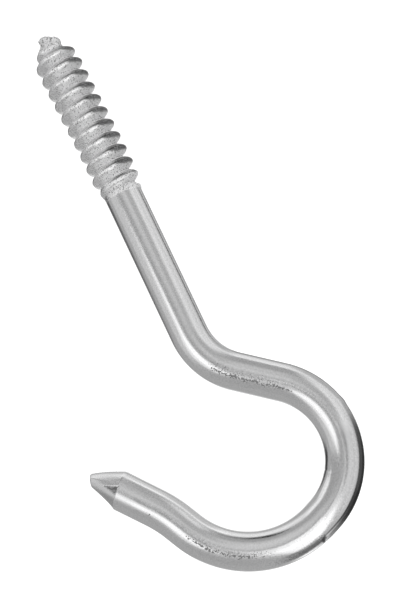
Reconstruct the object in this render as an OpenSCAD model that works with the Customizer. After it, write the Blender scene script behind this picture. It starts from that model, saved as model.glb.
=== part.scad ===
// Screw hook bent from one length of zinc-plated steel wire.
// One end carries a rolled wood thread with a blunt tip, the other is a round open hook
// with a turned-out lip and a pinched point. It lies flat, as it comes to rest.
// Units are millimetres. The origin is on the shank's axis where the thread begins,
// +Y runs along the thread to its tip, and +Z stands square to the plane of the hook.

/* [Wire] */
// Diameter of the wire
wire_d = 6.35; // [5:0.05:8]
// How much wider the wire is in its bends, where bending flattens it
bend_swell = 0.02; // [0.02:0.01:0.1]
// Length of plain straight shank between the thread and the first bend
shank_len = 26.4; // [10:0.1:60]

/* [Thread] */
// Length of the threaded end, with the tip
thread_len = 29.7; // [20:0.1:60]
// Distance from one crest to the next
pitch = 2.43; // [1.5:0.01:3.2]
// Height of the crests above the wire's skin
crest_height = 0.73; // [0.4:0.01:1.2]
// Depth of the grooves below the wire's skin
groove_depth = 0.58; // [0.3:0.01:0.9]
// Height of the plain collar above the wire's skin, where the thread meets the shank
collar_height = 0.17; // [0.05:0.01:0.35]
// Length over which the thread rises out of the collar
runout_len = 2.6; // [1:0.1:5]
// Height of the crest nearest the collar, on the upper side of the thread
first_crest = 1.29; // [0:0.01:3]
// Share of each tooth's half width that is rounded at its crest
crest_round = 0.6; // [0.1:0.01:0.8]
// Sideways lean of the threaded end, away from the side of the first bend
lean = 0.5; // [0:0.05:1]
// Height at which the lean starts
lean_start = 6; // [0:0.5:12]
// Height at which the lean is full
lean_full = 26; // [14:0.5:60]

/* [Tip of the thread] */
// Diameter of the blunt end
tip_d = 3.2; // [2:0.1:4.5]
// Length of the plain blunt end, which carries no thread
tip_len = 1.1; // [0.8:0.1:3]
// Length over which the thread rises from the blunt end to its full height, steeply at first
tip_taper_len = 4; // [3:0.1:10]
// Rounding of the end's rim
tip_round = 0.3; // [0.1:0.05:0.8]

/* [Hook] */
// Radius of the first bend, to the wire's centre
neck_r = 11.3; // [8:0.1:20]
// Turn of the first bend
neck_angle = 51.2; // [30:0.1:70]
// Straight run between the first bend and the bowl
neck_len = 7.7; // [1:0.1:15]
// Radius of the bowl where it leaves the neck
bowl_r = 12.8; // [9:0.1:20]
// Turn of that part of the bowl
bowl_angle = 118.6; // [80:0.1:135]
// Straight run at the foot of the bowl
bowl_run = 1; // [0.5:0.1:10]
// Radius of the bowl as it comes back up
return_r = 15.5; // [10:0.1:24]
// Turn of that part of the bowl
return_angle = 85.7; // [60:0.1:110]

/* [Lip and point] */
// Straight run between the bowl and the lip
lip_run = 2.1; // [0.5:0.1:8]
// Radius of the lip, which turns outward
lip_r = 21; // [10:0.5:40]
// Turn of the lip
lip_angle = 11.8; // [5:0.1:30]
// Length from the lip's bend to the end of the point
end_len = 11.4; // [8:0.1:20]
// Length of the pinched point
point_len = 5.5; // [3:0.1:7]
// Half thickness left at the end, on the inner side of the wire's axis
point_inner = 0.2; // [0:0.05:1]
// Half thickness left at the end, on the outer side of the wire's axis
point_outer = 1.4; // [0.5:0.05:2.4]
// Half thickness left at the end, square to the plane of the hook
point_half = 0.8; // [0.3:0.05:2]
// Turn of the two inner facets out of the plane of the hook
inner_facet_turn = 25; // [0:1:45]
// Turn of the two outer facets out of the plane of the hook
outer_facet_turn = 12; // [0:1:45]
// Radius of the small flat at the very end, inside its bevelled rim
point_flat_r = 0.7; // [0.2:0.05:1.5]

/* [Hidden] */

// Arc steps of the bends, steps round the thread, rings to each turn of the thread, and the
// angle from ring to ring over the rounded rim of the thread's end
$fn = 64;
THREAD_SIDES = 36;
RINGS_PER_TURN = 9;
RIM_STEP = 30;

wire_r = wire_d / 2;
crest_r = wire_r + crest_height;
root_r = wire_r - groove_depth;
collar_r = wire_r + collar_height;
tip_r = tip_d / 2;

// How far the shank runs on inside the thread's collar, and how large the cutting blocks are
shank_overlap = runout_len / 10;
block = 4 * wire_d;

// How far each straight run reaches into the bends beside it, so that they join as one body
joint = 0.05;

// Share of the way from low to high, with soft ends
function ease(low, high, at) =
    let (share = max(0, min(1, (at - low) / (high - low))))
    (1 - cos(180 * share)) / 2;

// Height of a tooth at a share of its half width: 1 on the crest, 0 at the root
function tooth(share) =
    (share < crest_round
        ? 1 - crest_round / 2 - share * share / (2 * crest_round)
        : 1 - share) / (1 - crest_round / 2);

// Distance from the nearest crest as a share of half a pitch, at a height and an angle
function off_crest(y, angle) =
    let (turns = (y - first_crest) / pitch - angle / 360)
    2 * abs(turns - round(turns));

// Radius at a height that rises from the blunt end to a full radius
function from_tip(full_r, y) =
    let (to_go = 1 - max(0, min(1, (thread_len - tip_len - y) / tip_taper_len)))
    tip_r + (full_r - tip_r) * (1 - to_go * to_go);

// Radius that the crests reach, and that the grooves go down to, at a height
function crest_at(y) = min(
    collar_r + (crest_r - collar_r) * ease(0, runout_len, y),
    from_tip(crest_r, y));
function root_at(y) = min(
    collar_r + (root_r - collar_r) * ease(0, runout_len, y),
    from_tip(root_r, y),
    crest_at(y));

// Radius of the thread's surface, with the rim of the end rounded
function thread_r(y, angle) =
    let (past_rim = max(0, y - (thread_len - tip_round)))
    root_at(y) + (crest_at(y) - root_at(y)) * tooth(off_crest(y, angle))
        - tip_round + sqrt(max(0, tip_round * tip_round - past_rim * past_rim));

// Heights of the rings: even along the thread, closer over the rounded rim
thread_rings = ceil(RINGS_PER_TURN * (thread_len - tip_round) / pitch);
ring_heights = concat(
    [for (i = [0:thread_rings]) i * (thread_len - tip_round) / thread_rings],
    [for (a = [RIM_STEP:RIM_STEP:90]) thread_len - tip_round + tip_round * sin(a)]);

// Sideways place of the thread's axis at a height
function axis_x(y) = -lean * ease(lean_start, lean_full, y);

// Rolled thread as one closed skin of rings from the collar to the blunt end
module thread() {
    last = len(ring_heights) - 1;
    skin = [for (y = ring_heights, i = [0:THREAD_SIDES - 1])
        let (angle = 360 * i / THREAD_SIDES)
        [axis_x(y) + thread_r(y, angle) * sin(angle), y, thread_r(y, angle) * cos(angle)]];
    sides = [for (ring = [0:last - 1], i = [0:THREAD_SIDES - 1])
        let (next = (i + 1) % THREAD_SIDES, below = ring * THREAD_SIDES, above = below + THREAD_SIDES)
        each [[below + i, above + next, below + next], [below + i, above + i, above + next]]];
    collar_face = [for (i = [0:THREAD_SIDES - 1]) i];
    end_face = [for (i = [THREAD_SIDES - 1:-1:0]) last * THREAD_SIDES + i];
    polyhedron(points = skin, faces = concat(sides, [collar_face, end_face]), convexity = 8);
}

// Straight wire along +Y, reaching a little into the bend before it; what follows starts at its end
module straight(length) {
    translate([0, -joint, 0]) rotate([-90, 0, 0]) cylinder(d = wire_d, h = length + 2 * joint);
    translate([0, length, 0]) children();
}

// Arc of bent wire about the origin, from +X toward +Y
module arc(radius, turn) {
    rotate_extrude(angle = turn) translate([radius, 0]) circle(d = wire_d + bend_swell);
}

// Bend to the left of the wire's course; what follows starts at its end
module bend_left(radius, turn) {
    translate([-radius, 0, 0]) {
        arc(radius, turn);
        rotate([0, 0, turn]) translate([radius, 0, 0]) children();
    }
}

// Bend to the right of the wire's course; what follows starts at its end
module bend_right(radius, turn) {
    translate([radius, 0, 0]) {
        mirror([1, 0, 0]) arc(radius, turn);
        rotate([0, 0, -turn]) translate([-radius, 0, 0]) children();
    }
}

// Block that cuts one facet of the point. The facet faces +X turned by an angle about the wire,
// starts at the wire's skin and leaves the given half thickness at the end.
module facet(turn, left_at_end) {
    slope = atan((wire_r - left_at_end) / point_len);
    rotate([0, turn, 0])
        translate([left_at_end, end_len, 0])
        rotate([0, 0, slope])
        translate([0, -block / 2, -block / 2])
        cube(block);
}

// Straight end of the wire, pinched to a six-sided point with a bevelled rim. Two facets meet in a
// ridge on its inner side and two on its outer side, and one lies on each flat of the hook.
module pinched_end() {
    bevel_len = end_len + 2 * joint;
    intersection() {
        difference() {
            straight(end_len);
            for (side = [-1, 1]) {
                facet(side * inner_facet_turn, point_inner);
                facet(180 + side * outer_facet_turn, point_outer);
                facet(side * 90, point_half);
            }
        }
        translate([(point_inner - point_outer) / 2, end_len, 0])
            rotate([90, 0, 0])
            cylinder(r1 = point_flat_r, r2 = point_flat_r + bevel_len, h = bevel_len);
    }
}

// Wire from the thread to the point: shank, neck, bowl, lip and pinched end in one course
module bent_wire() {
    translate([0, shank_overlap, 0])
        rotate([0, 0, 180])
        straight(shank_overlap + shank_len)
        bend_left(neck_r, neck_angle)
        straight(neck_len)
        bend_right(bowl_r, bowl_angle)
        straight(bowl_run)
        bend_right(return_r, return_angle)
        straight(lip_run)
        bend_left(lip_r, lip_angle)
        pinched_end();
}

module screw_hook() {
    color("silver") {
        thread();
        bent_wire();
    }
}

screw_hook();
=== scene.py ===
"""Screw hook of zinc-plated steel wire, lying on its side on a pale table in a soft studio."""
import math
import bpy
import numpy as np
from mathutils import Matrix, Vector, noise


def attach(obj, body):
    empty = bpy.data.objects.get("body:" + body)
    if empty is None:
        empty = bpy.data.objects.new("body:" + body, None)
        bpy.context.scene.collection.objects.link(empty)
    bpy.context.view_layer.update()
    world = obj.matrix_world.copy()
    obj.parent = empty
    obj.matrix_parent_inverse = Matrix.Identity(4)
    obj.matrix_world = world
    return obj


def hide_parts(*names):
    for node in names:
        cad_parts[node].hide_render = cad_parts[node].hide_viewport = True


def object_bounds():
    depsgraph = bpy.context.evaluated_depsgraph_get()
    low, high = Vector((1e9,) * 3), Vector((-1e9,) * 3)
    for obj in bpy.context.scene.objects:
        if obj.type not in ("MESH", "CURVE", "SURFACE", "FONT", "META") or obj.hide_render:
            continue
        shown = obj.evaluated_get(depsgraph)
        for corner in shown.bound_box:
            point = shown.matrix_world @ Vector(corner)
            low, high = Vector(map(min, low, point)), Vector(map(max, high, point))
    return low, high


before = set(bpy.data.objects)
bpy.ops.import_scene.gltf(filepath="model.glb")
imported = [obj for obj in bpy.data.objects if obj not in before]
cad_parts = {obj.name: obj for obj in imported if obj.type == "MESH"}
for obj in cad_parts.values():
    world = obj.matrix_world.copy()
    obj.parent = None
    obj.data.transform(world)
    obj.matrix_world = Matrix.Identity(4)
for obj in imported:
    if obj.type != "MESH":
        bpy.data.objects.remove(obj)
cad_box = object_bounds()

# Lengths are in millimetres and angles in degrees. Objects are made in metres.
MM = 0.001

# Wire and its course, from where the thread begins to the point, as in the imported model. A turn
# is plus to the left of the way that the course goes.
WIRE_R = 6.35 / 2
COURSE = {
    "shank": {"length": 26.4},
    "neck": {"radius": 11.3, "turn": 51.2},
    "neck run": {"length": 7.7},
    "bowl": {"radius": 12.8, "turn": -118.6},
    "bowl run": {"length": 1},
    "return": {"radius": 15.5, "turn": -85.7},
    "lip run": {"length": 2.1},
    "lip": {"radius": 21, "turn": 11.8},
    "end": {"length": 11.4},
}
# Slack for rounding where two legs of the course meet
ROUNDING = 1e-9

# Thread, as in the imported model
THREAD_LEN = 29.7
PITCH = 2.43
CREST_R = WIRE_R + 0.73
ROOT_R = WIRE_R - 0.58
COLLAR_R = WIRE_R + 0.17
RUNOUT_LEN = 2.6
FIRST_CREST = 1.29
CREST_ROUND = 0.6
LEAN = 0.5
LEAN_START = 6
LEAN_FULL = 26
TIP_R = 1.6
TIP_LEN = 1.1
TIP_TAPER_LEN = 4
TIP_ROUND = 0.3

# Lumps and hollows that the rolling left on the thread. Smaller ones, so many times finer, add a
# share of their height.
LUMP_SIZE = 0.9
LUMP_HEIGHT = 0.035
FINER_LUMPS = 2.7
FINER_SHARE = 0.5

# The cropped tip leans to one side and ends in a ragged slant, fully so at the second height
TIP_ASIDE = 0.5
TIP_SLANT = 0.45
TIP_RAGGED = 0.22
TIP_CROPPED = (THREAD_LEN - 2.4, THREAD_LEN - 0.6)

# Marks of the tools. Places along the wire count from where the thread begins, below zero on the
# thread. Angles round the wire count from its upper side, plus toward the side that the first bend
# swings to.
NICK = {"along": 53.0, "around": 88, "length": 0.5, "width": 30, "height": 0.1}
TOOL_LINE = {"along": 63.3, "around": -75, "length": 0.25, "width": 35, "height": -0.05}
TIP_BALL = {"along": -28.9, "around": -80, "length": 0.4, "width": 26, "height": 0.4}
TIP_BITE = {"along": -28.1, "around": 80, "length": 0.7, "width": 45, "height": -0.35}
BURR = {"along": 0.4, "around": 84, "length": 0.35, "width": 14, "height": 0.2}
# Ridges in the collar: heights where they begin, stand fully, begin to fade and are gone
COLLAR_RIDGES = {"rise": (-0.3, 0.2), "fade": (1.8, 3.6), "to_a_turn": 5, "height": 0.035}
# Flat that the bending tool pressed: its first and last angle and half width round the wire
PRESSED = {
    "start": 53.3,
    "end": 73.1,
    "soft_start": 0.5,
    "soft_end": 0.3,
    "first": (57, 7),
    "last": (71, 25),
}
# Three-cornered dent on the point's upper flat: its tip lies a little round from its foot
DENT = {"tip": 110.1, "foot": 107.6, "tip_around": 3, "half_width": 16, "depth": 0.16, "soft": 0.25}
LEAST_HALF_WIDTH = 0.1

# Pinched point: corners of its small end face, aside from the wire's axis and up from it. The
# lower half is the same. Its flanks run from there to the round wire, longer on the outer side.
POINT_LEN = 5.0
POINT_SKEW = 0.5
END_CORNERS = ((-0.2, 0), (0.34, 0.95), (1.05, 0.66), (1.25, 0.58), (1.55, 0))
END_CENTRE = 0.65
END_ROUND = 0.25
END_SLANT = 0.6
CORNER_SHARPNESS = 30
LEAST_FACING = 0.02

# Mesh: steps round the wire, and distance from ring to ring. The thread's close rings reach past
# its beginning, and those of the point start a little before it.
STEPS_ROUND = 128
THREAD_STEP = 0.1
THREAD_RINGS_END = 1.5
WIRE_STEP = 0.35
POINT_STEP = 0.06
POINT_RINGS_EARLY = 0.2

# Where the thread's finish gives way to the wire's, and over which share of the way from the round
# wire to the end face the point's flats take on their own
THREAD_FINISH = (0.6, 0.9)
FLATS_FINISH = (0, 0.06)

# Relief of the finish: size of the grain, and how high the grain, the frosting of the thread and
# the lines from the drawing of the wire stand. The lines are noise stretched along the wire.
GRAIN_SIZE = 0.22
GRAIN_HEIGHT = 0.005
FROST_HEIGHT = 0.05
LINE_HEIGHT = 0.006
LINES_TO_A_MM = 4.0
LINE_STRETCH = (1.0, 0.06, 1.0)
CLOUDS_TO_A_MM = 0.35
CLOUD_EDGE = (0.35, 0.65)

# Stripes that run along the thread. Across a tooth, 0 is its crest, 1 the groove on the tip's side
# and -1 the groove on the other. Each pair says where an edge of a stripe begins and ends, and
# aside counts from the thread's axis.
# The flank that faces the tip is smoother, and its tone is darker as painted shade
TIP_SIDE = {"rise": (0.02, 0.1), "fall": (0.75, 0.6)}
# Painted shade: a dark line beside each crest, toward one side of the hook
CREST_LINE = {"rise": (0.0, 0.1), "fall": (0.5, 0.3), "aside": (-2.4, 0.4)}
CREST_SHINE = {"rise": (-0.6, -0.4), "fall": (0.0, -0.12), "aside": (2.0, 0.5)}
GROOVE_EDGE = (0.62, 0.75)
SMOOTH_SIDE = (-1.4, -2.6)
NUB_EDGE = (-27.0, -28.0)
# Painted shade on the crests toward one side of the hook, where it widens, with an edge of loose
# specks
CREST_SHADE = {"rise": (0.0, 0.2), "fall": (0.85, 0.65), "aside": (0.2, 1.6)}
CREST_SHADE_ON_TURNS = {"rise": (-1.6, -3.0), "fall": (-28.3, -27.6)}
CREST_SHADE_WIDENS = {"aside": (-0.2, 2.6), "by": 0.5}
CREST_SHADE_SPECKS = 1.8

# Tone, contrast of the crystals, roughness and metal of each kind of surface. The darker tones of
# the tip side, the crest line, the crests toward one side and the point's outer flat are painted
# shade. The tones of the outer flat and of the dent multiply the wire's.
TONE = {
    "wire": 0.8,
    "frosted": 1.25,
    "smoother": 0.8,
    "tip side": 0.75,
    "groove": 1.2,
    "crest line": 0.4,
    "crest_shade": 0.16,
    "outer flat": 0.72,
    "dent": (0.35, 0.65),
    "scuff": 0.25,
    "least": 0.03,
    "most": 1.0,
}
# Zinc is a touch bluer than grey
BLUER = 1.006
CONTRAST = {"wire": 0.5, "frosted": 5.5, "smoother": 1.5, "nub": 9.0, "crest_shade": 6.0}
ROUGH_GRAIN = {"grain": (0.35, 0.7), "rough": (0.12, 0.19)}
ROUGH_POINT = {"along": (103, 108), "rough": (0.0, 0.1)}
ROUGHER = {"dull": 0.04, "frosted": 0.3, "shiny": 0.12, "scuff": 0.25}
METAL = {"wire": 1.0, "frosted": 0.3, "shiny": 0.9}
# The point's outer flat is darker, as painted shade, from this far aside
OUTER_FLAT_ASIDE = (1.1, 1.7)
DENT_STREAKS = (5.0, 0.8, 5.0)
STREAK_EDGE = (0.4, 0.6)

# Scuffs on the upper side: over which stretch, how far aside from the wire's axis, how wide, and
# how much of the middle is covered. Ends stray, and the cover is broken up into small dots.
SCUFFS = (
    {"Start": 32.0, "End": 47.0, "Aside": -1.15, "Half width": 0.6, "Cover": 0.7},
    {"Start": 31.5, "End": 44.5, "Aside": -0.75, "Half width": 1.2, "Cover": 0.42},
    {"Start": 82.0, "End": 95.0, "Aside": 0.72, "Half width": 0.55, "Cover": 0.74},
    {"Start": 80.0, "End": 94.0, "Aside": 0.5, "Half width": 0.9, "Cover": 0.4},
    {"Start": 100.4, "End": 102.8, "Aside": 1.25, "Half width": 0.6, "Cover": 0.75},
    {"Start": 73.0, "End": 80.0, "Aside": 2.35, "Half width": 0.6, "Cover": 0.5},
)
SCUFF_UPPER_SIDE = (0.2, 0.8)
SCUFF_FADE = 1.5
SCUFF_STRAY = {"to_a_mm": 1.3, "by": 2.4}
SCUFF_DOTS = {"to_a_mm": 3.8, "bare_at": 0.7, "contrast": 2.5}
SCUFF_EDGE = (0.0, 0.15)

# Long marks along the wire: how far round it, over which stretch, how softly each ends, and how
# much darker or brighter the steel is there. Their edges are ragged. The first two are die lines;
# the notes above the others say what they are.
TOOL_LINES_AND_PAINTED_LIGHT = (
    # Darker die lines along the shank
    {"around": 58, "half_width": 3, "start": 0.4, "end": 34, "fade": 10, "level": 0.5},
    {"around": 72, "half_width": 4, "start": 0.4, "end": 34, "fade": 10, "level": 0.5},
    # Painted shade along the outer edge of the neck run and bowl, and over the pressed flat
    {"around": 80, "half_width": 16, "start": 34, "end": 60, "fade": 3, "level": 0.3},
    {"around": 80, "half_width": 22, "start": 58, "end": 73, "fade": 0.5, "level": 0.4},
    # Painted shade that dims the bowl's highlight up to where it ends
    {"around": 14, "half_width": 20, "start": 56, "end": 71.6, "fade": 0.8, "level": 0.82},
    # Painted shade on the last stretch of the pressed flat
    {"around": 64, "half_width": 24, "start": 64.5, "end": 70.5, "fade": 1.5, "level": 0.6},
    # A darker band round from the upper side, past the end of the pressed flat
    {"around": 45, "half_width": 15, "start": 72.6, "end": 82, "fade": 6, "level": 0.4},
    # Painted shade: a dark line along the inner side of the return, the lip and the end leg
    {"around": -41, "half_width": 5, "start": 72, "end": 107.5, "fade": 1, "level": 0.82},
    # Painted highlight: a brighter strip along the inner side toward the point
    {"around": -56, "half_width": 12, "start": 88, "end": 108.5, "fade": 1, "level": 1.25},
)
MARK_SOFT_START = 1.5
MARK_CORE = 0.6
RAGGED_AROUND = 14.0
RAGGED_ALONG = 5.0

# Camera: where it looks, from how far, how far it stands over toward the hook, and its roll
LOOKS_AT = (3.74, -22.69, 0)
CAMERA_DISTANCE = 224
CAMERA_TILT = 9.5
CAMERA_ROLL = 25.52
CAMERA_LENS = 81.2
CAMERA_SENSOR = 36
CAMERA_CLIP = (10, 10000)

# Light of the room and of the table as the steel shows them, each a level with soft round patches.
# Azimuths go from the picture's right toward its top, and polar angles down from overhead.
ROOM_ABOVE = 0.41
GLOWS_ABOVE = {
    "ceiling": {"azimuth": 96, "polar": 30, "radius": 15, "soft": 16, "level": 0.71},
    "bright right wall": {"azimuth": 346, "polar": 103, "radius": 85, "soft": 8, "level": 0.88},
    "dim corner": {"azimuth": 123, "polar": 127, "radius": 56, "soft": 2, "level": 0.0},
    "low window": {"azimuth": 140, "polar": 107, "radius": 36, "soft": 6, "level": 1.06},
    "lit left wall": {"azimuth": 245, "polar": 75, "radius": 59, "soft": 4, "level": 0.65},
    "ceiling shade": {"azimuth": 56, "polar": 36, "radius": 6, "soft": 14, "level": 0.47},
    "dim lower wall": {"azimuth": 274, "polar": 93, "radius": 55, "soft": 15, "level": 0.42},
    "lower right wall": {"azimuth": 351, "polar": 131, "radius": 59, "soft": 35, "level": 0.58},
}
ROOM_BELOW = 0.45
GLOWS_BELOW = {
    "bright table edge": {"azimuth": 86, "polar": 64, "radius": 59, "soft": 12, "level": 0.96},
    "low window": {"azimuth": 154, "polar": 98, "radius": 11, "soft": 2, "level": 0.9},
    "left dark": {"azimuth": 192, "polar": 141, "radius": 27, "soft": 3, "level": 0.04},
    "lower right glint": {"azimuth": 317, "polar": 130, "radius": 10, "soft": 12, "level": 1.8},
    "right shadow": {"azimuth": 348, "polar": 118, "radius": 35, "soft": 9, "level": 0.08},
    "under the hook": {"azimuth": 58, "polar": 180, "radius": 21, "soft": 21, "level": 1.03},
    "upper right shade": {"azimuth": 55, "polar": 113, "radius": 14, "soft": 12, "level": 0.49},
    "lower left shade": {"azimuth": 221, "polar": 118, "radius": 26, "soft": 8, "level": 0.44},
    "near table": {"azimuth": 44, "polar": 140, "radius": 15, "soft": 2, "level": 0.57},
}
HORIZON = (0.0, 0.07)

# Softboxes round the hook: the way each stands, how wide it looks from there, and its level
SOFTBOX_DISTANCE = 1000
SOFTBOXES = {
    "left_softbox": {"azimuth": 215, "polar": 41, "wide": (40, 42), "level": 0.35},
    "left_core": {"azimuth": 216, "polar": 36, "wide": (39, 22), "level": 0.3},
    "lower_softbox": {"azimuth": 304, "polar": 41, "wide": (24, 82), "level": 0.79},
}

# Table: half its width, its grey, and the light that it gives to the camera alone
TABLE_HALF_WIDTH = 1500
TABLE_GREY = 0.8
TABLE_LIFT = 0.8


def smooth(low, high, value):
    """0 below low, 1 above high, with soft ends between them."""
    share = np.clip((value - low) / (high - low), 0, 1)
    return share * share * (3 - 2 * share)


def ease(low, high, value):
    """The same with a cosine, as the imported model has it."""
    share = np.clip((value - low) / (high - low), 0, 1)
    return (1 - np.cos(np.pi * share)) / 2


def part_way(start, end, share):
    """Value at a share of the way from start to end."""
    return start + (end - start) * share


def angle_from(middle, around):
    """Angle round the wire from a middle, between -180 and 180."""
    return (around - middle + 180) % 360 - 180


def leg_length(leg):
    """Length of one leg of the course along the wire's axis."""
    if "turn" in leg:
        return leg["radius"] * math.radians(abs(leg["turn"]))
    return leg["length"]


WIRE_LEN = sum(leg_length(leg) for leg in COURSE.values())


def follow_course(along):
    """Place on the wire's axis and heading in radians at each place along it."""
    x, y, heading, begun = 0, 0, math.radians(-90), 0
    places = np.stack([np.zeros(len(along)), -along], axis=1)
    headings = np.full(len(along), heading)
    for leg in COURSE.values():
        length = leg_length(leg)
        here = along >= begun - ROUNDING
        gone = along[here] - begun
        if "turn" in leg:
            side = math.copysign(1, leg["turn"])
            centre_x = x - side * leg["radius"] * math.sin(heading)
            centre_y = y + side * leg["radius"] * math.cos(heading)
            turned = heading + side * gone / leg["radius"]
            places[here, 0] = centre_x + side * leg["radius"] * np.sin(turned)
            places[here, 1] = centre_y - side * leg["radius"] * np.cos(turned)
            headings[here] = turned
            heading += math.radians(leg["turn"])
            x = centre_x + side * leg["radius"] * math.sin(heading)
            y = centre_y - side * leg["radius"] * math.cos(heading)
        else:
            places[here, 0] = x + gone * math.cos(heading)
            places[here, 1] = y + gone * math.sin(heading)
            headings[here] = heading
            x += length * math.cos(heading)
            y += length * math.sin(heading)
        begun += length
    return places, headings


def thread_radius(height, around):
    """Radius of the thread's surface, and the place across a tooth: 0 to 1 from its crest to the
    groove on the tip's side, and 0 to -1 on the other side."""
    rise = ease(0, RUNOUT_LEN, height)
    to_go = 1 - np.clip((THREAD_LEN - TIP_LEN - height) / TIP_TAPER_LEN, 0, 1)
    from_tip = 1 - to_go**2
    crest = np.minimum(part_way(COLLAR_R, CREST_R, rise), part_way(TIP_R, CREST_R, from_tip))
    root = np.minimum(part_way(COLLAR_R, ROOT_R, rise), part_way(TIP_R, ROOT_R, from_tip))
    root = np.minimum(root, crest)
    turns = (height - FIRST_CREST) / PITCH - around / 360
    across = 2 * (turns - np.round(turns))
    share = np.abs(across)
    rounded = 1 - CREST_ROUND / 2 - share**2 / (2 * CREST_ROUND)
    tooth = np.where(share < CREST_ROUND, rounded, 1 - share) / (1 - CREST_ROUND / 2)
    past_rim = np.maximum(0, height - (THREAD_LEN - TIP_ROUND))
    rim = TIP_ROUND - np.sqrt(np.maximum(0, TIP_ROUND**2 - past_rim**2))
    return root + (crest - root) * tooth - rim, across * rise * from_tip


def end_face_radius(around):
    """Distance from the middle of the point's end face to its rim, with soft corners."""
    lower = [(aside, -up) for aside, up in reversed(END_CORNERS[1:-1])]
    corners = [(aside - END_CENTRE, up) for aside, up in list(END_CORNERS) + lower]
    out_aside, out_up = np.sin(np.radians(around)), np.cos(np.radians(around))
    together = 0
    for here, there in zip(corners, corners[1:] + corners[:1]):
        faces = Vector((here[1] - there[1], there[0] - here[0])).normalized()
        faces = faces if faces.dot(Vector(here)) > 0 else -faces
        facing = np.maximum(out_aside * faces[0] + out_up * faces[1], LEAST_FACING)
        reach = faces.dot(Vector(here)) / facing
        together = together + (1 / reach) ** CORNER_SHARPNESS
    return together ** (-1 / CORNER_SHARPNESS)


def point_radius(left, around):
    """Radius of the pinched point about its own middle, and its share of the way to the wire."""
    share = np.clip(left / (POINT_LEN + POINT_SKEW * np.sin(np.radians(around))), 0, 1)
    into_rim = np.clip(END_ROUND - left, 0, END_ROUND)
    rim = END_ROUND - np.sqrt(END_ROUND**2 - into_rim**2)
    return end_face_radius(around) * (1 - share) + WIRE_R * share - rim, share


def mark_height(mark, along, around):
    """Rounded bump or hollow at one place on the wire."""
    off_along = (along - mark["along"]) / mark["length"]
    off_around = angle_from(mark["around"], around) / mark["width"]
    return mark["height"] * np.exp(-(off_along**2) - off_around**2)


def dent_share(along, around):
    """1 in the middle of the three-cornered dent on the point's upper flat, 0 outside it."""
    open_to = np.clip((DENT["tip"] - along) / (DENT["tip"] - DENT["foot"]), 0, 1)
    off = np.abs(angle_from(0, around) - DENT["tip_around"] * (1 - open_to))
    half_width = np.maximum(DENT["half_width"] * open_to, LEAST_HALF_WIDTH)
    inside = smooth(0, DENT["soft"], 1 - off / half_width)
    return inside * smooth(0, DENT["soft"], along - DENT["foot"])


def collar_ridges(height, around):
    """Fine ridges that the rolling left where the thread runs out into the collar."""
    turns = height / PITCH - around / 360
    shown = smooth(*COLLAR_RIDGES["rise"], height) * (1 - smooth(*COLLAR_RIDGES["fade"], height))
    return COLLAR_RIDGES["height"] * shown * np.cos(2 * np.pi * COLLAR_RIDGES["to_a_turn"] * turns)


def pressed_in(along, around):
    """How deep the bending tool pressed the bowl's outer side to a flat, which widens along it."""
    start, end = PRESSED["start"], PRESSED["end"]
    share = np.clip((along - start) / (end - start), 0, 1)
    middle = part_way(PRESSED["first"][0], PRESSED["last"][0], share)
    half_width = part_way(PRESSED["first"][1], PRESSED["last"][1], share)
    off = np.abs(angle_from(middle, around))
    flat = np.cos(np.radians(half_width)) / np.cos(np.radians(np.minimum(off, half_width)))
    begun = smooth(start, start + PRESSED["soft_start"], along)
    over = smooth(end, end + PRESSED["soft_end"], along)
    return WIRE_R * (1 - flat) * begun * (1 - over)


def lumps(points):
    """Gentle unevenness from a fixed noise at each point of the straightened wire."""
    values = []
    for point in (points.reshape(-1, 3) / LUMP_SIZE).tolist():
        finer = noise.noise(Vector(point) * FINER_LUMPS)
        values.append(noise.noise(Vector(point)) + FINER_SHARE * finer)
    return np.array(values).reshape(points.shape[:2])


def ring_places():
    """Places along the wire at which the mesh has its rings."""
    thread = np.arange(-THREAD_LEN, THREAD_RINGS_END, THREAD_STEP)
    point_start = WIRE_LEN - POINT_LEN - POINT_SKEW - POINT_RINGS_EARLY
    wire = np.arange(thread[-1] + WIRE_STEP, point_start, WIRE_STEP)
    point = np.arange(point_start, WIRE_LEN, POINT_STEP)
    return np.concatenate([thread, wire, point, [WIRE_LEN]])


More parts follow.
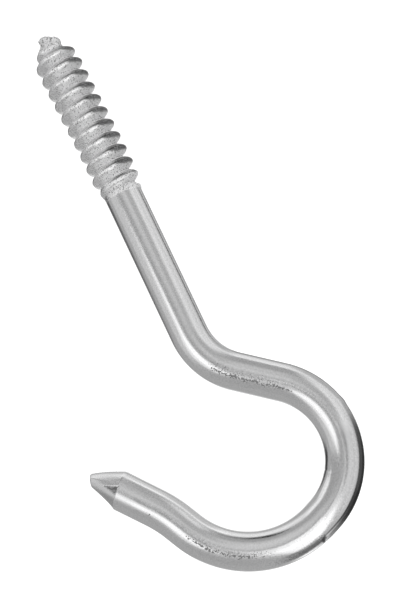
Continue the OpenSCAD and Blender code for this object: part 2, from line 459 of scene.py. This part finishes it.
def hook_surface():
    """Vertices in rings, with what the steel's finish needs to know at each."""
    along = ring_places()[:, None]
    around = (np.arange(STEPS_ROUND) * 360 / STEPS_ROUND)[None, :]
    sine, cosine = np.sin(np.radians(around)), np.cos(np.radians(around))
    height, left = -along, WIRE_LEN - along

    # Thread, plain wire and pinched point
    on_thread = height >= 0
    on_point = left < POINT_LEN + POINT_SKEW
    screwed, flank = thread_radius(np.maximum(height, 0), around)
    pinched, share = point_radius(left, around)
    radius = np.where(on_point, pinched, np.where(on_thread, screwed, WIRE_R))
    flank = np.where(on_thread, flank, 0)
    centre = np.where(on_point, END_CENTRE * (1 - np.clip(left / POINT_LEN, 0, 1)), 0)

    # Marks of the tools, and lumps on the thread
    dent = dent_share(along, around)
    radius = radius - pressed_in(along, around) - DENT["depth"] * dent
    radius = radius + collar_ridges(height, around)
    for mark in (NICK, TOOL_LINE, TIP_BALL, TIP_BITE, BURR):
        radius = radius + mark_height(mark, along, around)
    threaded = np.broadcast_to(1 - smooth(*THREAD_FINISH, along), radius.shape)
    lengthwise = np.broadcast_to(along, radius.shape)
    uneven = lumps(np.stack([radius * sine, lengthwise, radius * cosine], axis=-1))
    radius = radius + LUMP_HEIGHT * threaded * uneven

    # Lean of the thread, and slant of both ends
    cropped = smooth(*TIP_CROPPED, height)
    lean = -LEAN * ease(LEAN_START, LEAN_FULL, height) + TIP_ASIDE * cropped
    aside = centre + lean + radius * sine
    up = radius * cosine
    on_flats = (1 - share) * on_point
    slant = cropped * (TIP_SLANT * radius * sine + TIP_RAGGED * uneven)
    slant = slant - END_SLANT * on_flats * radius * sine

    # The straightened wire, laid along its course
    places, headings = follow_course(along[:, 0])
    left_of = np.stack([-np.sin(headings), np.cos(headings)], axis=1)[:, None]
    ahead = np.stack([np.cos(headings), np.sin(headings)], axis=1)[:, None]
    flat = places[:, None] + left_of * aside[..., None] + ahead * slant[..., None]
    points = np.concatenate([flat, up[..., None]], axis=-1)
    facts = {
        "straightened": np.stack([aside, along + slant, up], axis=-1),
        "flank": flank,
        "threaded": threaded,
        "pinched": smooth(*FLATS_FINISH, on_flats),
        "dent": dent,
    }
    return points, facts


def with_middles(values):
    """Values at all vertices of the rings, and then those at the middles of the two ends."""
    ends = [values[0].mean(axis=0), values[-1].mean(axis=0)]
    return np.concatenate([values.reshape(-1, *values.shape[2:]), ends])


def ring_mesh(name, points, facts):
    """Closed mesh of rings, with facts kept as attributes of its vertices."""
    rings, steps = points.shape[:2]
    here = np.arange((rings - 1) * steps).reshape(rings - 1, steps)
    beside = np.roll(here, -1, axis=1)
    quads = np.stack([here, beside, beside + steps, here + steps], axis=-1).reshape(-1, 4)
    tip, end, last = rings * steps, rings * steps + 1, (rings - 1) * steps
    fans = [(tip, (i + 1) % steps, i) for i in range(steps)]
    fans += [(end, last + i, last + (i + 1) % steps) for i in range(steps)]
    mesh = bpy.data.meshes.new(name)
    mesh.from_pydata((with_middles(points) * MM).tolist(), [], quads.tolist() + fans)
    mesh.shade_smooth()
    for fact, values in facts.items():
        kind, field = ("FLOAT_VECTOR", "vector") if values.ndim == 3 else ("FLOAT", "value")
        kept = with_middles(values).astype(np.float32).ravel()
        mesh.attributes.new(fact, kind, "POINT").data.foreach_set(field, kept)
    mesh.validate()
    piece = bpy.data.objects.new(name, mesh)
    bpy.context.scene.collection.objects.link(piece)
    return piece


class Nodes:
    """Adds nodes to one tree and links them."""

    def __init__(self, tree):
        self.tree = tree

    def add(self, kind, inputs=None, **settings):
        """Node with its settings, and its inputs linked or set to values."""
        node = self.tree.nodes.new(kind)
        for setting, value in settings.items():
            setattr(node, setting, value)
        for socket, value in (inputs or {}).items():
            self.feed(node, socket, value)
        return node

    def feed(self, node, socket, value):
        """Links an output to an input, or sets the input to a value."""
        if isinstance(value, bpy.types.NodeSocket):
            self.tree.links.new(value, node.inputs[socket])
        else:
            node.inputs[socket].default_value = value

    def fact(self, name, output="Fac"):
        """What the mesh keeps under a name."""
        return self.add("ShaderNodeAttribute", attribute_name=name).outputs[output]

    def split(self, vector):
        """Aside, along and up parts of a vector."""
        return tuple(self.add("ShaderNodeSeparateXYZ", {0: vector}).outputs)

    def math(self, operation, first, second=0.0, clamp=False):
        """One step of arithmetic."""
        inputs = {0: first, 1: second}
        node = self.add("ShaderNodeMath", inputs, operation=operation, use_clamp=clamp)
        return node.outputs[0]

    def plus(self, first, second):
        """Sum of two values."""
        return self.math("ADD", first, second)

    def minus(self, first, second):
        """Difference of two values."""
        return self.math("SUBTRACT", first, second)

    def times(self, first, *others):
        """Product of values."""
        for other in others:
            first = self.math("MULTIPLY", first, other)
        return first

    def most(self, first, *others):
        """Greatest of some values."""
        for other in others:
            first = self.math("MAXIMUM", first, other)
        return first

    def step(self, value, low, high, to_low=0.0, to_high=1.0):
        """Soft step of a value from to_low to to_high."""
        inputs = {"Value": value, "From Min": low, "From Max": high}
        inputs |= {"To Min": to_low, "To Max": to_high}
        node = self.add("ShaderNodeMapRange", inputs, interpolation_type="SMOOTHSTEP")
        return node.outputs["Result"]

    def stripe(self, value, edges):
        """1 where a value lies between a soft rise and a soft fall."""
        return self.times(self.step(value, *edges["rise"]), self.step(value, *edges["fall"]))

    def mix(self, share, first, second):
        """Value at a share of the way from first to second."""
        inputs = {"Factor": share, "A": first, "B": second}
        return self.add("ShaderNodeMix", inputs, data_type="FLOAT").outputs["Result"]

    def noise(self, place, scale, detail=2.0, roughness=0.5):
        """Noise from 0 to 1 over a place."""
        inputs = {"Vector": place, "Scale": scale, "Detail": detail, "Roughness": roughness}
        return self.add("ShaderNodeTexNoise", inputs).outputs["Fac"]

    def stretch(self, vector, by):
        """Vector with its three parts multiplied."""
        return self.add("ShaderNodeVectorMath", {0: vector, 1: by}, operation="MULTIPLY").outputs[0]

    def dot(self, vector, toward):
        """How far a vector goes toward another."""
        inputs = {0: vector, 1: toward}
        return self.add("ShaderNodeVectorMath", inputs, operation="DOT_PRODUCT").outputs["Value"]


def new_material(name):
    """Empty node material with its output node."""
    material = bpy.data.materials.new(name)
    material.use_nodes = True
    material.node_tree.nodes.clear()
    nodes = Nodes(material.node_tree)
    return material, nodes, nodes.add("ShaderNodeOutputMaterial")


def new_group(name, inputs, outputs):
    """Empty shader node group with a place and floats as inputs, and floats as outputs."""
    group = bpy.data.node_groups.new(name, "ShaderNodeTree")
    for title in inputs:
        kind = "NodeSocketVector" if title == "Place" else "NodeSocketFloat"
        group.interface.new_socket(title, in_out="INPUT", socket_type=kind)
    for title in outputs:
        group.interface.new_socket(title, in_out="OUTPUT", socket_type="NodeSocketFloat")
    nodes = Nodes(group)
    return group, nodes, nodes.add("NodeGroupInput").outputs, nodes.add("NodeGroupOutput")


def scuff_group():
    """Speckled scuff on the upper side of the wire, over one stretch of it."""
    inputs = ("Place", "Start", "End", "Aside", "Half width", "Cover")
    group, nodes, given, result = new_group("Scuff", inputs, ("Mask",))
    aside, along, up = nodes.split(given["Place"])
    ragged = nodes.minus(nodes.noise(given["Place"], SCUFF_STRAY["to_a_mm"]), 0.5)
    along = nodes.plus(along, nodes.times(ragged, SCUFF_STRAY["by"]))
    begun = nodes.math("DIVIDE", nodes.minus(along, given["Start"]), SCUFF_FADE, clamp=True)
    to_go = nodes.math("DIVIDE", nodes.minus(given["End"], along), SCUFF_FADE, clamp=True)
    off = nodes.math("ABSOLUTE", nodes.minus(aside, given["Aside"]))
    off = nodes.math("DIVIDE", off, given["Half width"])
    inside = nodes.math("SUBTRACT", 1.0, off, clamp=True)
    shape = nodes.times(begun, to_go, inside, nodes.step(up, *SCUFF_UPPER_SIDE))
    dots = nodes.minus(nodes.noise(given["Place"], SCUFF_DOTS["to_a_mm"]), SCUFF_DOTS["bare_at"])
    cover = nodes.times(shape, given["Cover"])
    cover = nodes.plus(cover, nodes.times(dots, SCUFF_DOTS["contrast"]))
    mask = nodes.times(nodes.step(cover, *SCUFF_EDGE), nodes.step(shape, *SCUFF_EDGE))
    nodes.feed(result, "Mask", mask)
    return group


def grain_group():
    """Crystals of the plating, lines that the drawing of the wire left, and duller clouds."""
    outputs = ("Grain", "Lines", "Dullness")
    group, nodes, given, result = new_group("ZincGrain", ("Place", "Grain size"), outputs)
    finer = nodes.math("DIVIDE", 1.0, given["Grain size"])
    scaled = nodes.add("ShaderNodeVectorMath", {0: given["Place"], 3: finer}, operation="SCALE")
    crystals = nodes.noise(scaled.outputs[0], 1.0, detail=2.5, roughness=0.6)
    lines = nodes.noise(nodes.stretch(given["Place"], LINE_STRETCH), LINES_TO_A_MM)
    clouds = nodes.noise(given["Place"], CLOUDS_TO_A_MM)
    nodes.feed(result, "Grain", crystals)
    nodes.feed(result, "Lines", lines)
    nodes.feed(result, "Dullness", nodes.step(clouds, *CLOUD_EDGE))
    return group


def scuffed(nodes, place):
    """Where the wire is scuffed."""
    kind = scuff_group()
    worn = 0.0
    for scuff in SCUFFS:
        one = nodes.add("ShaderNodeGroup", {"Place": place, **scuff}, node_tree=kind)
        worn = nodes.most(worn, one.outputs["Mask"])
    return worn


def thread_stripes(nodes, place, speckle, threaded):
    """Stripes along the thread: the smooth side of each tooth that faces the tip, darkened as
    painted shade, with a dark line of painted shade beside the crest, a shine on the crest's other
    side, the groove, and painted shade on the crests toward one side of the hook."""
    aside, along, _ = nodes.split(place)
    across = nodes.fact("flank")
    # Flank that faces the tip: smoother, and darker as painted shade
    tip_side = nodes.stripe(across, TIP_SIDE)
    # Painted shade: the dark line beside the crest
    crest_line = nodes.times(nodes.stripe(across, CREST_LINE), threaded)
    crest_line = nodes.times(crest_line, nodes.step(aside, *CREST_LINE["aside"]))
    crest_shine = nodes.stripe(across, CREST_SHINE)
    crest_shine = nodes.times(crest_shine, nodes.step(aside, *CREST_SHINE["aside"]))
    groove = nodes.times(nodes.step(across, *GROOVE_EDGE), threaded)
    smooth_side = nodes.times(nodes.step(aside, *SMOOTH_SIDE), threaded)
    smoother = nodes.most(tip_side, groove, smooth_side)
    # Painted shade on the crests toward one side of the hook, with a speckled edge
    widening = nodes.times(nodes.step(aside, *CREST_SHADE_WIDENS["aside"]), CREST_SHADE_WIDENS["by"])
    reach = nodes.plus(nodes.plus(across, nodes.times(speckle, CREST_SHADE_SPECKS)), widening)
    crest_shade = nodes.times(nodes.step(reach, *CREST_SHADE["rise"]), nodes.step(across, *CREST_SHADE["fall"]))
    crest_shade = nodes.times(crest_shade, nodes.step(aside, *CREST_SHADE["aside"]), nodes.stripe(along, CREST_SHADE_ON_TURNS))
    return {
        "tip side": tip_side,
        "crest line": crest_line,
        "groove": groove,
        "smoother": smoother,
        "shiny": nodes.most(smoother, crest_shine),
        "crest_shade": crest_shade,
    }


def tool_lines_and_painted_light(nodes, place, speckle):
    """How much darker or brighter the long marks make the steel: die lines, a darker band, painted
    shade and a painted highlight.
    """
    aside, along, up = nodes.split(place)
    around = nodes.times(nodes.math("ARCTAN2", aside, up), 180 / math.pi)
    around = nodes.plus(around, nodes.times(speckle, RAGGED_AROUND))
    along = nodes.plus(along, nodes.times(speckle, RAGGED_ALONG))
    level = 1.0
    for mark in TOOL_LINES_AND_PAINTED_LIGHT:
        off = nodes.math("ABSOLUTE", nodes.minus(around, mark["around"]))
        inside = nodes.step(off, mark["half_width"], MARK_CORE * mark["half_width"])
        begun = nodes.step(along, mark["start"], mark["start"] + MARK_SOFT_START)
        to_go = nodes.step(along, mark["end"], mark["end"] - mark["fade"])
        level = nodes.times(level, nodes.mix(nodes.times(inside, begun, to_go), 1.0, mark["level"]))
    return level


def point_level(nodes, place):
    """How much darker the point's outer flat is, as painted shade, and its dent with streaks in it.
    """
    aside = nodes.split(place)[0]
    outer_flat = nodes.times(nodes.fact("pinched"), nodes.step(aside, *OUTER_FLAT_ASIDE))
    streaks = nodes.noise(nodes.stretch(place, DENT_STREAKS), 1.0)
    streaked = nodes.step(streaks, *STREAK_EDGE, *TONE["dent"])
    in_dent = nodes.mix(nodes.fact("dent"), 1.0, streaked)
    return nodes.times(nodes.mix(outer_flat, 1.0, TONE["outer flat"]), in_dent)


def steel_tone(nodes, place, speckle, threaded, stripes, worn):
    """Grey of the steel: lighter and darker crystals over the level of each kind of surface, with
    painted shade and a painted highlight in places.
    """
    along = nodes.split(place)[1]
    contrast = nodes.mix(stripes["smoother"], CONTRAST["frosted"], CONTRAST["smoother"])
    contrast = nodes.mix(threaded, CONTRAST["wire"], contrast)
    contrast = nodes.mix(nodes.step(along, *NUB_EDGE), contrast, CONTRAST["nub"])
    contrast = nodes.mix(stripes["crest_shade"], contrast, CONTRAST["crest_shade"])
    crystals = nodes.plus(nodes.times(speckle, contrast), 1.0)
    level = nodes.mix(stripes["smoother"], TONE["frosted"], TONE["smoother"])
    level = nodes.mix(threaded, TONE["wire"], level)
    # The tip side, the crest line and the shade on the crests are painted shade; the groove is
    # lighter
    for stripe in ("tip side", "groove", "crest line", "crest_shade"):
        level = nodes.mix(stripes[stripe], level, TONE[stripe])
    # Die lines, painted shade and a painted highlight, and the point's painted shade and dent
    level = nodes.times(level, tool_lines_and_painted_light(nodes, place, speckle), point_level(nodes, place))
    tone = nodes.mix(worn, nodes.times(crystals, level), TONE["scuff"])
    return nodes.math("MINIMUM", nodes.most(tone, TONE["least"]), TONE["most"])


def steel_roughness(nodes, place, grain, threaded, stripes, worn):
    """Roughness of the plating: duller in clouds, on the frosted thread, the point and scuffs."""
    along = nodes.split(place)[1]
    on_thread = nodes.mix(stripes["shiny"], ROUGHER["frosted"], ROUGHER["shiny"])
    rough = nodes.step(grain["Grain"], *ROUGH_GRAIN["grain"], *ROUGH_GRAIN["rough"])
    for more in (
        nodes.times(grain["Dullness"], ROUGHER["dull"]),
        nodes.times(threaded, on_thread),
        nodes.step(along, *ROUGH_POINT["along"], *ROUGH_POINT["rough"]),
        nodes.times(worn, ROUGHER["scuff"]),
    ):
        rough = nodes.plus(rough, more)
    return rough


def steel_relief(nodes, grain, speckle, threaded, stripes):
    """Height of the plating's grain, of the thread's frosting and of the drawn lines."""
    frosted = nodes.mix(threaded, GRAIN_HEIGHT, FROST_HEIGHT)
    frosted = nodes.mix(stripes["smoother"], frosted, GRAIN_HEIGHT)
    drawn = nodes.times(grain["Lines"], nodes.mix(threaded, LINE_HEIGHT, 0.0))
    return nodes.plus(nodes.times(speckle, frosted), drawn)


def zinc_plated_steel():
    """Bright zinc plate, half dull: fine grain, drawn lines, a frosted thread and tool scuffs, with
    painted shade and a painted highlight in places.
    """
    material, nodes, output = new_material("zinc_plated_steel")
    place = nodes.fact("straightened", "Vector")
    threaded = nodes.fact("threaded")
    inputs = {"Place": place, "Grain size": GRAIN_SIZE}
    grain = nodes.add("ShaderNodeGroup", inputs, node_tree=grain_group()).outputs
    speckle = nodes.minus(grain["Grain"], 0.5)
    stripes = thread_stripes(nodes, place, speckle, threaded)
    worn = scuffed(nodes, place)

    tone = steel_tone(nodes, place, speckle, threaded, stripes, worn)
    colour = nodes.add("ShaderNodeCombineColor", {0: tone, 1: tone, 2: nodes.times(tone, BLUER)})
    thread_metal = nodes.mix(stripes["shiny"], METAL["frosted"], METAL["shiny"])
    relief = steel_relief(nodes, grain, speckle, threaded, stripes)
    bump = nodes.add("ShaderNodeBump", {"Height": relief, "Distance": MM, "Strength": 1.0})
    steel = nodes.add(
        "ShaderNodeBsdfPrincipled",
        {
            "Base Color": colour.outputs[0],
            "Metallic": nodes.mix(threaded, METAL["wire"], thread_metal),
            "Roughness": steel_roughness(nodes, place, grain, threaded, stripes, worn),
            "Normal": bump.outputs["Normal"],
        },
    )
    nodes.feed(output, "Surface", steel.outputs["BSDF"])
    return material


def make_hook():
    """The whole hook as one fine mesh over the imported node."""
    points, facts = hook_surface()
    hook = ring_mesh("hook_wire", points, facts)
    hook.data.materials.append(zinc_plated_steel())
    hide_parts("screw_hook")
    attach(hook, "root")
    # In the photograph the steel shows the room and the table and next to nothing of the hook
    hook.visible_glossy = False


def stand(thing, away, axes):
    """Puts a camera or a lamp at a way off from where the camera looks, turned to three axes."""
    place = (Vector(LOOKS_AT) + away) * MM
    thing.matrix_world = Matrix.Translation(place) @ Matrix(axes).transposed().to_4x4()
    bpy.context.scene.collection.objects.link(thing)


def make_camera():
    """Camera over the hook, a little toward its bowl, rolled as in the photograph."""
    tilt, roll = math.radians(CAMERA_TILT), math.radians(CAMERA_ROLL)
    back = Vector((0, -math.sin(tilt), math.cos(tilt)))
    level_up = Vector((0, math.cos(tilt), math.sin(tilt)))
    level_right = Vector((1, 0, 0))
    right = math.cos(roll) * level_right - math.sin(roll) * level_up
    up = math.sin(roll) * level_right + math.cos(roll) * level_up
    data = bpy.data.cameras.new("studio_camera")
    data.lens = CAMERA_LENS
    data.sensor_width = CAMERA_SENSOR
    data.clip_start, data.clip_end = (distance * MM for distance in CAMERA_CLIP)
    camera = bpy.data.objects.new("studio_camera", data)
    stand(camera, back * CAMERA_DISTANCE, (right, up, back))
    bpy.context.scene.camera = camera


def make_floor():
    """Pale table under the hook. It shades nothing and isn't reflected: the glows below the horizon
    stand for it in the steel."""
    half, low = TABLE_HALF_WIDTH * MM, cad_box[0][2]
    corners = [(-half, -half, low), (half, -half, low), (half, half, low), (-half, half, low)]
    mesh = bpy.data.meshes.new("table")
    mesh.from_pydata(corners, [], [(0, 1, 2, 3)])
    table = bpy.data.objects.new("table", mesh)
    bpy.context.scene.collection.objects.link(table)
    material, nodes, output = new_material("pale_table")
    grey = (TABLE_GREY, TABLE_GREY, TABLE_GREY, 1)
    matt = nodes.add("ShaderNodeBsdfDiffuse", {"Color": grey})
    seen = nodes.add("ShaderNodeLightPath").outputs["Is Camera Ray"]
    lift = nodes.add("ShaderNodeEmission", {"Strength": nodes.times(seen, TABLE_LIFT)})
    both = nodes.add("ShaderNodeAddShader", {0: matt.outputs[0], 1: lift.outputs[0]})
    nodes.feed(output, "Surface", both.outputs[0])
    mesh.materials.append(material)
    table.visible_glossy = False
    table.visible_shadow = False


def toward(azimuth, polar):
    """Direction at an azimuth and a polar angle, in the hook's own frame."""
    flat = math.radians(azimuth - CAMERA_ROLL)
    down = math.radians(polar)
    sideways = math.sin(down)
    return Vector((math.cos(flat) * sideways, math.sin(flat) * sideways, math.cos(down)))


def paint_glows(nodes, direction, level, glows):
    """Lays soft round patches of light, or of dark, over a level of light."""
    for glow in glows.values():
        near = nodes.dot(direction, toward(glow["azimuth"], glow["polar"]))
        outer = math.cos(math.radians(glow["radius"] + glow["soft"]))
        inner = math.cos(math.radians(max(glow["radius"] - glow["soft"], 0)))
        level = nodes.mix(nodes.step(near, outer, inner), level, glow["level"])
    return level


def make_room():
    """Soft light from all sides: the room above the horizon and the table's light below it. The
    camera itself sees plain white there."""
    world = bpy.data.worlds.new("room")
    bpy.context.scene.world = world
    world.use_nodes = True
    world.node_tree.nodes.clear()
    nodes = Nodes(world.node_tree)
    direction = nodes.add("ShaderNodeTexCoord").outputs["Generated"]
    above = paint_glows(nodes, direction, ROOM_ABOVE, GLOWS_ABOVE)
    below = paint_glows(nodes, direction, ROOM_BELOW, GLOWS_BELOW)
    light = nodes.mix(nodes.step(nodes.dot(direction, (0, 0, 1)), *HORIZON), below, above)
    seen = nodes.add("ShaderNodeLightPath").outputs["Is Camera Ray"]
    shown = {"Color": (1, 1, 1, 1), "Strength": nodes.mix(seen, light, 1.0)}
    background = nodes.add("ShaderNodeBackground", shown)
    output = nodes.add("ShaderNodeOutputWorld")
    nodes.feed(output, "Surface", background.outputs[0])


def make_softbox(name, box):
    """Oval softbox that faces the hook. The second of its two widths lies along its azimuth."""
    data = bpy.data.lights.new(name, "AREA")
    data.shape = "ELLIPSE"
    half_angles = (math.radians(wide / 2) for wide in box["wide"])
    across, along = (2 * SOFTBOX_DISTANCE * MM * math.tan(half) for half in half_angles)
    data.size, data.size_y = across, along
    # A lamp's power spreads over its area and over the half of space before it
    data.energy = box["level"] * math.pi * math.pi * across * along / 4
    lamp = bpy.data.objects.new(name, data)
    back = toward(box["azimuth"], box["polar"])
    level_way = Vector((0, 0, 1)).cross(back).normalized()
    stand(lamp, back * SOFTBOX_DISTANCE, (level_way, back.cross(level_way), back))
    lamp.visible_camera = False


bpy.context.scene.view_settings.view_transform = "Standard"
make_camera()
make_hook()
make_floor()
make_room()
for name, box in SOFTBOXES.items():
    make_softbox(name, box)
